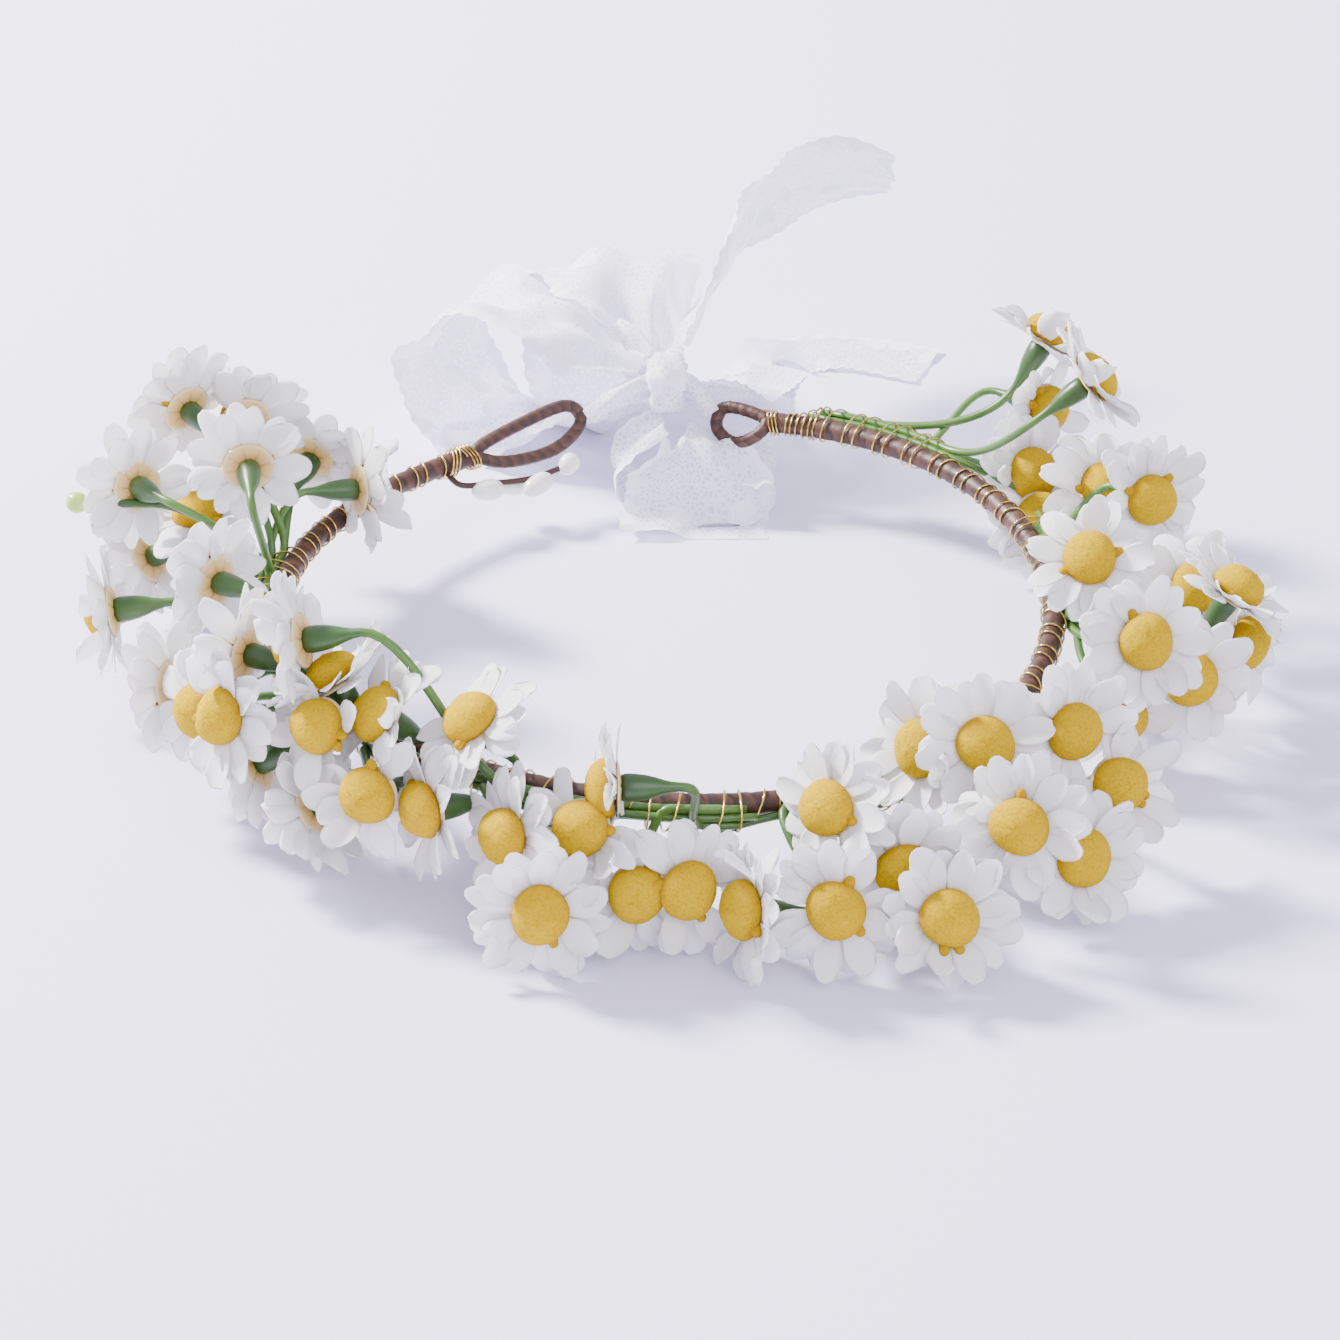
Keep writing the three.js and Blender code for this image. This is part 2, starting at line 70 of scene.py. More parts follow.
# [hoop angle, mm outside the hoop line, mm above it, facing azimuth, facing elevation, kind,
# hoop angle that the stem leaves from]
SPRAYS = {
    "right_back": (36, 60, [
        (38, 30, 10, -40, 0, "own", 46),
        (24, 22, 33, 5, 38, "bends", 43),
        (40, 34, 27, 25, 55, "own", 53),
        (33, 18, -1, -74, 26, "joined", 40.5),
        (28, 14, -8, -74, 26, "joined", 39),
        (19, 22, 8, -67, 40, "joined", 38),
    ]),
    "right": (-14, 12, [
        (9, 26, 16, -60, 12, "own", None),
        (-11, 8, 22, -97, 54, "own", None),
        (-24, 27, 18, -81, 29, "own", None),
        (-3, 34, 6, -74, 50, "joined", None),
        (-13, 43, 20, 5, 58, "bends", -5),
        (-19, 36, 4, -95, 12, "own", None),
        (-10, 46, 2, -36, 14, "joined", None),
        (-24, 22, -4, -70, -10, "joined", None),
    ]),
    "right_front": (300, 326, [
        (317, 30, 16, -63, 27, "own", None),
        (307, 23, 18, -84, 31, "own", None),
        (304, 9, 12, -134, 25, "joined", None),
        (304, 44, 10, -105, 24, "own", None),
        (319, 40, 4, -62, 27, "joined", None),
        (311, 46, -4, -63, 25, "own", None),
    ]),
    "front_right": (277, 297, [
        (295, 50, -4, -77, 33, "own", None),
        (286, 39, -4, -93, 19, "own", None),
        (294, 34, 0, -94, 3, "joined", None),
        (288, 22, 11, -135, 25, "bends", 289),
        (278, 34, -6, -156, 16, "joined", None),
        (272, 28, -4, -72, 15, "own", None),
    ]),
    "front": (256, 274, [
        (267, 27, -6, -95, 10, "joined", None),
        (264, 17, 14, -177, 1, "own", 271),
        (261, 22, 6, -118, 19, "own", None),
        (258, 38, -7, -88, 14, "own", None),
        (253, 24, 2, -145, 15, "own", None),
    ]),
    "front_left": (234, 253, [
        (243, 22, 2, -150, 8, "joined", 242),
        (237, 26, 4, -119, 16, "own", None),
        (246, 10, 20, -164, 52, "own", None),
        (234, 14, 16, -160, 39, "joined", None),
        (223, 18, 29, 169, -15, "own", 245),
    ]),
    "left_front": (207, 231, [
        (226, 13, 19, 155, 55, "joined", None),
        (229, 23, 14, -129, 24, "own", None),
        (214, 33, 8, -133, 13, "joined", None),
        (219, 34, 12, -130, 18, "own", None),
        (216, 24, 22, 152, 0, "joined", None),
        (228, 25, -8, 157, -34, "joined", None),
        (219, 27, -4, 169, -31, "joined", None),
    ]),
    "left": (185, 204, [
        (205, 33, 4, 153, -15, "own", None),
        (185, 41, 2, 180, -10, "bends", None),
        (194, 16, 18, 144, -5, "own", None),
    ]),
    "left_back": (160, 182, [
        (157, 20, 28, 97, 3, "joined", None),
        (176, 7, 33, 97, 3, "bends", None),
        (155, -10, 13, 25, -10, "bends", 168),
        (150, 10, 14, 77, 8, "joined", None),
        (161, 33, 33, 131, 12, "own", None),
        (173, 37, 23, 125, -10, "own", None),
        (166, 26, 8, -157, 80, "joined", None),
        (167, 40, -5, 157, -32, "joined", None),
        (175, 47, 20, 178, 0, "bud", None),
    ]),
}


# ---- camera, light and floor ------------------------------------------------------------------
CAMERA_DISTANCE = 960.0
CAMERA_RISE = 29.5
FOCAL_PX = 3900.0
FRAME_PX = 1340.0
SENSOR_MM = 36.0
AIM_DOWN_PX = 74.0
AIM_LEFT_PX = 4.0


def make_camera():
    rise = math.radians(CAMERA_RISE)
    data = bpy.data.cameras.new("camera")
    data.sensor_width = SENSOR_MM
    data.lens = FOCAL_PX / FRAME_PX * SENSOR_MM
    camera = bpy.data.objects.new("camera", data)
    bpy.context.scene.collection.objects.link(camera)
    away = np.array([0.0, -CAMERA_DISTANCE * math.cos(rise), CAMERA_DISTANCE * math.sin(rise)])
    camera.location = Vector(HOOP + away * MM)
    pitch = rise + math.atan(AIM_DOWN_PX / FOCAL_PX)
    yaw = math.atan(AIM_LEFT_PX / FOCAL_PX)
    camera.rotation_euler = (math.pi / 2 - pitch, 0, -yaw)
    bpy.context.scene.camera = camera


def area_light(name, place, size, power, colour):
    data = bpy.data.lights.new(name, "AREA")
    data.shape = "DISK"
    data.size = size
    data.energy = power
    data.color = colour
    light = bpy.data.objects.new(name, data)
    bpy.context.scene.collection.objects.link(light)
    light.location = place
    light.rotation_euler = (-Vector(place)).to_track_quat("-Z", "Y").to_euler()


def node_material(name):
    material = bpy.data.materials.new(name)
    material.use_nodes = True
    tree = material.node_tree
    return material, tree, tree.nodes["Principled BSDF"]


def make_stage():
    world = bpy.data.worlds.new("studio")
    world.use_nodes = True
    background = world.node_tree.nodes["Background"]
    background.inputs["Color"].default_value = (0.83, 0.82, 1.0, 1)
    background.inputs["Strength"].default_value = 1.6
    bpy.context.scene.world = world
    area_light("key", (-1.35, 0.75, 1.25), 0.42, 182, (1.0, 0.985, 0.965))
    area_light("fill", (0.9, -1.6, 1.5), 1.6, 30, (0.95, 0.95, 1.0))
    half = 6.0
    mesh = bpy.data.meshes.new("floor")
    corners = [(-half, -half, 0), (half, -half, 0), (half, half, 0), (-half, half, 0)]
    mesh.from_pydata(corners, [], [(0, 1, 2, 3)])
    floor = bpy.data.objects.new("floor", mesh)
    bpy.context.scene.collection.objects.link(floor)
    material, tree, shader = node_material("floor_paper")
    shader.inputs["Roughness"].default_value = 0.7
    shader.inputs["Specular IOR Level"].default_value = 0.2
    noise = tree.nodes.new("ShaderNodeTexNoise")
    noise.inputs["Scale"].default_value = 3.0
    ramp = tree.nodes.new("ShaderNodeValToRGB")
    ramp.color_ramp.elements[0].color = (0.78, 0.755, 0.94, 1)
    ramp.color_ramp.elements[1].color = (0.81, 0.785, 0.965, 1)
    tree.links.new(noise.outputs["Fac"], ramp.inputs["Fac"])
    tree.links.new(ramp.outputs["Color"], shader.inputs["Base Color"])
    mesh.materials.append(material)


# ---- materials --------------------------------------------------------------------------------
def link(tree, source, target):
    tree.links.new(source, target)


def attribute(tree, name):
    node = tree.nodes.new("ShaderNodeAttribute")
    node.attribute_name = name
    return node


def ramp_node(tree, source, stops):
    node = tree.nodes.new("ShaderNodeValToRGB")
    node.color_ramp.interpolation = "EASE"
    elements = node.color_ramp.elements
    while len(elements) < len(stops):
        elements.new(0.5)
    for element, (place, colour) in zip(elements, stops):
        element.position = place
        element.color = (*colour, 1)
    link(tree, source, node.inputs["Fac"])
    return node


def noise_node(tree, scale, detail=3.0, roughness=0.5):
    place = tree.nodes.new("ShaderNodeTexCoord")
    node = tree.nodes.new("ShaderNodeTexNoise")
    node.inputs["Scale"].default_value = scale
    node.inputs["Detail"].default_value = detail
    node.inputs["Roughness"].default_value = roughness
    link(tree, place.outputs["Object"], node.inputs["Vector"])
    return node


def bump(tree, shader, height, strength, distance):
    node = tree.nodes.new("ShaderNodeBump")
    node.inputs["Strength"].default_value = strength
    node.inputs["Distance"].default_value = distance
    link(tree, height, node.inputs["Height"])
    link(tree, node.outputs["Normal"], shader.inputs["Normal"])


def mixed(tree, factor, first, second, blend="MIX"):
    node = tree.nodes.new("ShaderNodeMix")
    node.data_type = "RGBA"
    node.blend_type = blend
    for name, value in (("Factor", factor), ("A", first), ("B", second)):
        socket = node.inputs[name]
        if isinstance(value, bpy.types.NodeSocket):
            link(tree, value, socket)
        elif isinstance(value, tuple):
            socket.default_value = (*value, 1)
        else:
            socket.default_value = value
    return node.outputs["Result"]


def calculated(tree, operation, *values):
    node = tree.nodes.new("ShaderNodeMath")
    node.operation = operation
    for socket, value in zip(node.inputs, values):
        if isinstance(value, bpy.types.NodeSocket):
            link(tree, value, socket)
        else:
            socket.default_value = value
    return node.outputs["Value"]


def petal_material():
    material, tree, shader = node_material("petal_fabric")
    along = attribute(tree, "along").outputs["Fac"]
    shade = attribute(tree, "shade").outputs["Fac"]
    base = ramp_node(tree, along, [
        (0.0, (0.78, 0.66, 0.40)), (0.16, (0.86, 0.82, 0.70)), (0.34, (0.93, 0.93, 0.92)),
        (1.0, (0.955, 0.955, 0.97)),
    ])
    warm = mixed(tree, calculated(tree, "MULTIPLY", shade, 0.5), base.outputs["Color"], (0.90, 0.875, 0.84))
    link(tree, warm, shader.inputs["Base Color"])
    shader.inputs["Roughness"].default_value = 0.62
    shader.inputs["Sheen Weight"].default_value = 0.15
    shader.inputs["Sheen Roughness"].default_value = 0.5
    shader.inputs["Specular IOR Level"].default_value = 0.25
    weave = noise_node(tree, 2600, 2.0)
    soft = noise_node(tree, 240, 3.0)
    fine = calculated(tree, "MULTIPLY", weave.outputs["Fac"], 0.35)
    height = calculated(tree, "ADD", fine, soft.outputs["Fac"])
    bump(tree, shader, height, 0.5, 0.0004)
    through = tree.nodes.new("ShaderNodeBsdfTranslucent")
    link(tree, warm, through.inputs["Color"])
    blend = tree.nodes.new("ShaderNodeMixShader")
    blend.inputs[0].default_value = 0.33
    link(tree, shader.outputs["BSDF"], blend.inputs[1])
    link(tree, through.outputs["BSDF"], blend.inputs[2])
    link(tree, blend.outputs["Shader"], tree.nodes["Material Output"].inputs["Surface"])
    return material


def felt_material():
    material, tree, shader = node_material("yellow_felt")
    along = attribute(tree, "along").outputs["Fac"]
    grain = noise_node(tree, 1700, 4.0, 0.65)
    patch = noise_node(tree, 160, 2.0)
    # Painted shade: the felt runs from dark brown at the dome's foot, beside the petals, to bright yellow at
    # its top.
    base = ramp_node(tree, along, [
        (0.0, (0.30, 0.14, 0.0)), (0.25, (0.45, 0.26, 0.0)), (0.7, (0.54, 0.345, 0.0)),
        (1.0, (0.57, 0.37, 0.0)),
    ])
    speck = ramp_node(tree, grain.outputs["Fac"], [(0.36, (0.68, 0.6, 0.5)), (0.58, (1, 1, 1))])
    grained = mixed(tree, 0.75, base.outputs["Color"], speck.outputs["Color"], "MULTIPLY")
    colour = mixed(tree, calculated(tree, "MULTIPLY", patch.outputs["Fac"], 0.3), grained, (0.52, 0.30, 0.0))
    link(tree, colour, shader.inputs["Base Color"])
    shader.inputs["Roughness"].default_value = 0.86
    shader.inputs["Specular IOR Level"].default_value = 0.08
    bump(tree, shader, grain.outputs["Fac"], 0.7, 0.0004)
    return material


def back_material():
    material, tree, shader = node_material("head_back")
    along = attribute(tree, "along").outputs["Fac"]
    crease_shade = attribute(tree, "shade").outputs["Fac"]
    base = ramp_node(tree, along, [
        (0.0, (0.26, 0.16, 0.02)), (0.45, (0.55, 0.34, 0.09)), (0.8, (0.66, 0.45, 0.17)),
        (1.0, (0.78, 0.62, 0.36)),
    ])
    # Painted shade: dark lines along the disc's creases, strongest near the calyx.
    colour = mixed(tree, crease_shade, base.outputs["Color"], (0.15, 0.10, 0.012))
    link(tree, colour, shader.inputs["Base Color"])
    shader.inputs["Roughness"].default_value = 0.6
    grain = noise_node(tree, 900, 3.0)
    bump(tree, shader, grain.outputs["Fac"], 0.3, 0.0002)
    return material


def green_material(name, dark, mid, light, roughness=0.34):
    material, tree, shader = node_material(name)
    along = attribute(tree, "along").outputs["Fac"]
    patch = noise_node(tree, 90, 3.0)
    mottle = calculated(tree, "MULTIPLY", calculated(tree, "SUBTRACT", patch.outputs["Fac"], 0.5), 0.5)
    place = calculated(tree, "ADD", along, mottle)
    base = ramp_node(tree, place, [(0.0, dark), (0.5, mid), (1.0, light)])
    link(tree, base.outputs["Color"], shader.inputs["Base Color"])
    grain = noise_node(tree, 500, 3.0)
    rough = tree.nodes.new("ShaderNodeMapRange")
    rough.inputs["To Min"].default_value = roughness - 0.08
    rough.inputs["To Max"].default_value = roughness + 0.14
    link(tree, grain.outputs["Fac"], rough.inputs["Value"])
    link(tree, rough.outputs["Result"], shader.inputs["Roughness"])
    bump(tree, shader, grain.outputs["Fac"], 0.16, 0.0002)
    return material


def paper_material():
    material, tree, shader = node_material("brown_paper_tape")
    along = attribute(tree, "along").outputs["Fac"]
    fibre = noise_node(tree, 700, 4.0, 0.6)
    patch = noise_node(tree, 60, 3.0)
    # Painted shade: each turn of tape runs from dark at the foot of its lap step to light at its raised edge.
    turn = ramp_node(tree, along, [
        (0.0, (0.014, 0.005, 0.003)), (0.22, (0.04, 0.014, 0.007)), (0.8, (0.075, 0.028, 0.013)),
        (1.0, (0.115, 0.048, 0.024)),
    ])
    tone = ramp_node(tree, patch.outputs["Fac"], [(0.3, (0.72, 0.68, 0.66)), (0.7, (1.15, 1.05, 1.0))])
    colour = mixed(tree, 1.0, turn.outputs["Color"], tone.outputs["Color"], "MULTIPLY")
    link(tree, colour, shader.inputs["Base Color"])
    shader.inputs["Roughness"].default_value = 0.5
    shader.inputs["Specular IOR Level"].default_value = 0.45
    bump(tree, shader, fibre.outputs["Fac"], 0.5, 0.0003)
    return material


def gold_material():
    material, tree, shader = node_material("gilt_wire")
    tone = noise_node(tree, 300, 2.0)
    base = ramp_node(tree, tone.outputs["Fac"], [(0.3, (0.42, 0.27, 0.05)), (0.7, (0.70, 0.52, 0.17))])
    link(tree, base.outputs["Color"], shader.inputs["Base Color"])
    shader.inputs["Metallic"].default_value = 1.0
    shader.inputs["Roughness"].default_value = 0.22
    return material


def pip_material():
    material, tree, shader = node_material("ivory_pip")
    tone = noise_node(tree, 120, 2.0)
    base = ramp_node(tree, tone.outputs["Fac"], [(0.3, (0.80, 0.76, 0.68)), (0.7, (0.90, 0.875, 0.82))])
    link(tree, base.outputs["Color"], shader.inputs["Base Color"])
    shader.inputs["Roughness"].default_value = 0.22
    shader.inputs["Coat Weight"].default_value = 0.4
    shader.inputs["Coat Roughness"].default_value = 0.15
    bump(tree, shader, tone.outputs["Fac"], 0.1, 0.0003)
    return material


def lace_material():
    material, tree, shader = node_material("lace_net")
    cloth = attribute(tree, "cloth").outputs["Vector"]

    def pattern(kind, scale, feature=None):
        node = tree.nodes.new(kind)
        node.inputs["Scale"].default_value = scale
        if feature:
            node.feature = feature
        link(tree, cloth, node.inputs["Vector"])
        return node

    net = pattern("ShaderNodeTexVoronoi", 1000.0 / 1.5, "DISTANCE_TO_EDGE")
    thread = calculated(tree, "LESS_THAN", net.outputs["Distance"], 0.16)
    motif = pattern("ShaderNodeTexVoronoi", 1000.0 / 11.0, "F1")
    petals = pattern("ShaderNodeTexNoise", 1000.0 / 4.0)
    ragged = calculated(tree, "MULTIPLY", petals.outputs["Fac"], 0.42)
    worn = calculated(tree, "ADD", motif.outputs["Distance"], ragged)
    dense = tree.nodes.new("ShaderNodeMapRange")
    dense.inputs["From Min"].default_value = 0.60
    dense.inputs["From Max"].default_value = 0.52
    link(tree, worn, dense.inputs["Value"])
    border = attribute(tree, "border").outputs["Fac"]
    net_cover = calculated(tree, "MULTIPLY", thread, 0.78)
    motif_cover = calculated(tree, "MULTIPLY", dense.outputs["Result"], 0.93)
    edge_cover = calculated(tree, "MULTIPLY", border, 0.9)
    cover = calculated(tree, "MAXIMUM", net_cover, motif_cover)
    cover = calculated(tree, "MAXIMUM", cover, edge_cover)
    opacity = calculated(tree, "MAXIMUM", cover, 0.55)
    link(tree, opacity, shader.inputs["Alpha"])
    tone = ramp_node(tree, cover, [(0.0, (0.80, 0.78, 0.93)), (1.0, (0.93, 0.915, 1.0))])
    link(tree, tone.outputs["Color"], shader.inputs["Base Color"])
    shader.inputs["Roughness"].default_value = 0.75
    shader.inputs["Sheen Weight"].default_value = 0.3
    shader.inputs["Specular IOR Level"].default_value = 0.2
    bump(tree, shader, cover, 0.6, 0.0003)
    return material


# ---- meshes -----------------------------------------------------------------------------------
class Shape:
    """Collects patches of vertices and faces with a material index and per-vertex values."""

    def __init__(self):
        self.vertices, self.faces, self.slots = [], [], []
        self.values = {}
        self.count = 0

    def add(self, vertices, faces, slot=0, **values):
        vertices = np.asarray(vertices, float)
        self.faces += [[i + self.count for i in f] for f in faces]
        self.slots += [slot] * len(faces)
        self.vertices.append(vertices)
        for name in set(self.values) | set(values):
            store = self.values.setdefault(name, [])
            width = 3 if name == "cloth" else 1
            given = values.get(name, np.zeros((len(vertices), width)))
            given = np.broadcast_to(np.asarray(given, float).reshape(-1, width), (len(vertices), width))
            have = sum(len(v) for v in store)
            if have < self.count:
                store.append(np.zeros((self.count - have, width)))
            store.append(given)
        self.count += len(vertices)

    def build(self, name, materials, smooth=True):
        mesh = bpy.data.meshes.new(name)
        place = np.concatenate(self.vertices) * MM + HOOP
        mesh.from_pydata(place.tolist(), [], self.faces)
        mesh.validate()
        for material in materials:
            mesh.materials.append(material)
        mesh.polygons.foreach_set("material_index", self.slots)
        mesh.polygons.foreach_set("use_smooth", [smooth] * len(self.faces))
        for key, store in self.values.items():
            data = np.concatenate(store).astype(np.float32)
            kind = "FLOAT_VECTOR" if key == "cloth" else "FLOAT"
            field = "vector" if key == "cloth" else "value"
            mesh.attributes.new(key, kind, "POINT").data.foreach_set(field, data.ravel())
        mesh.update()
        made = bpy.data.objects.new(name, mesh)
        bpy.context.scene.collection.objects.link(made)
        return made


def grid_faces(rows, columns, closed=False):
    """Quads of a grid stored row by row. closed joins the last column to the first."""
    faces = []
    for r in range(rows - 1):
        for c in range(columns if closed else columns - 1):
            n = (c + 1) % columns
            faces.append([r * columns + c, r * columns + n, (r + 1) * columns + n, (r + 1) * columns + c])
    return faces


def unit(v):
    return np.asarray(v, float) / np.linalg.norm(v)


def hoop_point(angle, outside=0.0, above=0.0):
    turn = math.radians(angle)
    radius = HOOP_RADIUS + outside
    wave = HOOP_WAVE * math.sin(2 * (turn - math.pi))
    return np.array([radius * math.cos(turn), radius * math.sin(turn), wave + above])


def facing(azimuth, elevation):
    az, el = math.radians(azimuth), math.radians(elevation)
    return np.array([math.cos(az) * math.cos(el), math.sin(az) * math.cos(el), math.sin(el)])


def head_axes(normal, spin):
    """Rows are the head's own x, y and z directions."""
    guide = np.array([0.0, 0.0, 1.0]) if abs(normal[2]) < 0.9 else np.array([0.0, 1.0, 0.0])
    x = unit(np.cross(guide, normal))
    y = np.cross(normal, x)
    c, s = math.cos(spin), math.sin(spin)
    return np.array([c * x + s * y, c * y - s * x, normal])


def bezier(points, count):
    t = np.linspace(0, 1, count)[:, None]
    a, b, c, d = (np.asarray(p, float) for p in points)
    return (1 - t) ** 3 * a + 3 * (1 - t) ** 2 * t * b + 3 * (1 - t) * t * t * c + t ** 3 * d


def spline(points, count, closed=False):
    """Catmull-Rom through the points."""
    p = np.asarray(points, float)
    n = len(p)
    spans = n if closed else n - 1
    out = []
    for u in np.linspace(0, spans, count, endpoint=not closed):
        i = min(int(u), spans - 1)
        t = u - i
        if closed:
            a, b, c, d = (p[(i + k) % n] for k in (-1, 0, 1, 2))
        else:
            b, c = p[i], p[i + 1]
            a = p[i - 1] if i > 0 else 2 * b - c
            d = p[i + 2] if i + 2 < n else 2 * c - b
        square, cube = 2 * a - 5 * b + 4 * c - d, 3 * b - a - 3 * c + d
        out.append(0.5 * (2 * b + (c - a) * t + square * t * t + cube * t ** 3))
    return np.array(out)


def tube(points, radii, sides=8, closed=False, caps=True, swell=None):
    """A tube along points; swell(row, turns) scales each ring's radius round its turn."""
    points = np.asarray(points, float)
    count = len(points)
    radii = np.broadcast_to(np.asarray(radii, float), (count,))
    if closed:
        tangents = np.roll(points, -1, axis=0) - np.roll(points, 1, axis=0)
    else:
        tangents = np.gradient(points, axis=0)
    tangents /= np.linalg.norm(tangents, axis=1)[:, None]
    guide = np.array([0.0, 0.0, 1.0]) if abs(tangents[0][2]) < 0.9 else np.array([1.0, 0.0, 0.0])
    side = unit(np.cross(tangents[0], guide))
    turns = np.linspace(0, 2 * math.pi, sides, endpoint=False)
    rings = []
    for i in range(count):
        side = unit(side - tangents[i] * (side @ tangents[i]))
        other = np.cross(tangents[i], side)
        scale = np.ones(sides) if swell is None else swell(i, turns)
        circle = np.cos(turns)[:, None] * side + np.sin(turns)[:, None] * other
        ring = points[i] + radii[i] * scale[:, None] * circle
        rings.append(ring)
    vertices = np.concatenate(rings)
    faces = grid_faces(count, sides, closed=True)
    if closed:
        last = (count - 1) * sides
        faces += [[last + c, last + (c + 1) % sides, (c + 1) % sides, c] for c in range(sides)]
    elif caps:
        faces.append(list(range(sides))[::-1])
        faces.append(list(range((count - 1) * sides, count * sides)))
    return vertices, faces


DOMES = [
    hoop_point(*daisy[:3]) + facing(daisy[3], daisy[4]) * DOME_MIDDLE
    for spray in SPRAYS.values() for daisy in spray[2] if daisy[5] != "bud"
]


# ---- a daisy's head ---------------------------------------------------------------------------
PETAL_ACROSS = np.array([-1, -0.86, -0.48, 0, 0.48, 0.86, 1.0])
PETAL_ALONG = np.array([0, 0.16, 0.34, 0.52, 0.68, 0.81, 0.9, 0.96, 1.0])
PETAL_THICKNESS = 0.2
PETAL_ROOT = 3.8


def petal(rng, radius, width, lift, droop, layer):
    """One petal along +x in the head's frame: its upper and lower skins, closed round the edge."""
    columns, rows = len(PETAL_ACROSS), len(PETAL_ALONG)
    notch = rng.uniform(0.2, 0.8) if rng.random() < 0.35 else 0.0
    notch_at = rng.uniform(-0.35, 0.35)
    curl = rng.uniform(-0.3, 2.3)
    twist = rng.uniform(-1.0, 1.0)
    bend = rng.uniform(-0.7, 0.9)
    ridge = rng.uniform(0.05, 0.22)
    skew = rng.uniform(-0.9, 0.9)
    folded = rng.uniform(3.5, 7.0) if rng.random() < 0.06 else 0.0
    u, s = np.meshgrid(PETAL_ALONG, PETAL_ACROSS, indexing="ij")
    ends = radius - 2.7 * (1 - np.sqrt(1 - 0.98 * s * s)) - notch * np.exp(-(((s - notch_at) / 0.25) ** 2))
    rise = np.clip(u / 0.68, 0, 1)
    shape = 0.40 + 0.60 * rise * rise * (3 - 2 * rise)
    shape = shape * np.where(u > 0.74, 1 - 0.30 * ((u - 0.74) / 0.26) ** 2, 1)
    x = PETAL_ROOT + (ends - PETAL_ROOT) * u
    y = s * width / 2 * shape + skew * u ** 2
    z = layer + lift * (x - PETAL_ROOT) + droop * u ** 2 + bend * np.sin(u * math.pi)
    z += curl * (s ** 2) * u * shape + twist * s * u ** 1.5
    z -= ridge * np.cos(2.5 * math.pi * s) * np.sin(u * math.pi)
    z += folded * u ** 2
    x -= folded * 0.35 * u ** 2
    top = np.stack([x, y, z], axis=-1).reshape(-1, 3)
    low = top - [0, 0, PETAL_THICKNESS]
    count = len(top)
    upper = grid_faces(rows, columns)
    lower = [[i + count for i in f][::-1] for f in upper]
    rim = list(range(columns)) + [i * columns + columns - 1 for i in range(1, rows)]
    rim += [(rows - 1) * columns + j for j in range(columns - 2, -1, -1)]
    rim += [i * columns for i in range(rows - 2, 0, -1)]
    edge = [[b, a, a + count, b + count] for a, b in zip(rim, rim[1:] + rim[:1])]
    faces = [f[::-1] for f in upper + lower + edge]
    value = np.concatenate([u.ravel(), u.ravel()])
    return np.concatenate([top, low]), faces, value


def turned(points, angle):
    c, s = math.cos(angle), math.sin(angle)
    return points @ np.array([[c, s, 0], [-s, c, 0], [0, 0, 1]])


DOME_RINGS = [
    (6.1, 0.1), (6.5, 0.8), (6.62, 1.8), (6.4, 2.9), (5.8, 4.0), (4.85, 4.9), (3.6, 5.6),
    (2.2, 6.05), (0.9, 6.25),
]
DOME_SIDES = 28


def dome(rng, shape, place, axes):
    turns = np.linspace(0, 2 * math.pi, DOME_SIDES, endpoint=False)
    wobble = 1 + 0.035 * np.sin(2 * turns + rng.uniform(0, 6)) + 0.02 * np.sin(3 * turns + rng.uniform(0, 6))
    dent_turn = rng.uniform(0, 2 * math.pi)
    dent = rng.uniform(0.0, 0.75) if rng.random() < 0.6 else 0.0
    rings = []
    for radius, height in DOME_RINGS:
        x = radius * wobble * np.cos(turns)
        y = radius * wobble * np.sin(turns)
        cut = x * math.cos(dent_turn) + y * math.sin(dent_turn) - 1.5
        z = height - dent * np.clip(cut, 0, 3.2) * (height > 1.5) * 0.55
        z = z + 0.1 * rng.standard_normal(DOME_SIDES) * (height > 1)
        rings.append(np.stack([x, y, z], axis=-1))
    top = np.array([[0, 0, 6.35 - dent * 0.1]])
    vertices = np.concatenate([*rings, top])
    last = len(DOME_RINGS) - 1
    faces = grid_faces(len(DOME_RINGS), DOME_SIDES, closed=True)
    ring, tip = last * DOME_SIDES, len(vertices) - 1
    faces += [[ring + c, ring + (c + 1) % DOME_SIDES, tip] for c in range(DOME_SIDES)]
    faces.append(list(range(DOME_SIDES))[::-1])
    # These heights drive the felt's painted shade, darker towards the dome's foot.
    heights = np.concatenate([np.full(DOME_SIDES, h / 6.3) for _, h in DOME_RINGS] + [[1.0]])
    shape.add(place + vertices @ axes, faces, slot=1, along=heights, shade=0.5)
    for _ in range(rng.integers(0, 3)):
        turn = rng.uniform(0, 2 * math.pi)
        out = np.array([math.cos(turn), math.sin(turn), 0.0])
        profile = [(5.6, 0.6), (7.0, 1.0), (7.9, 1.3), (8.3, 1.45)]
        reach = [out * r + [0, 0, height] for r, height in profile]
        nub, sides = tube(reach, [1.5, 1.25, 1.0, 0.45], 8)
        shape.add(place + nub @ axes, sides, slot=1, along=0.35, shade=0.5)


BACK_RINGS = [(0.6, -1.75), (2.4, -1.7), (4.4, -1.45), (5.9, -1.15), (6.5, -0.8)]
BACK_SIDES = 48
CREASES = 8


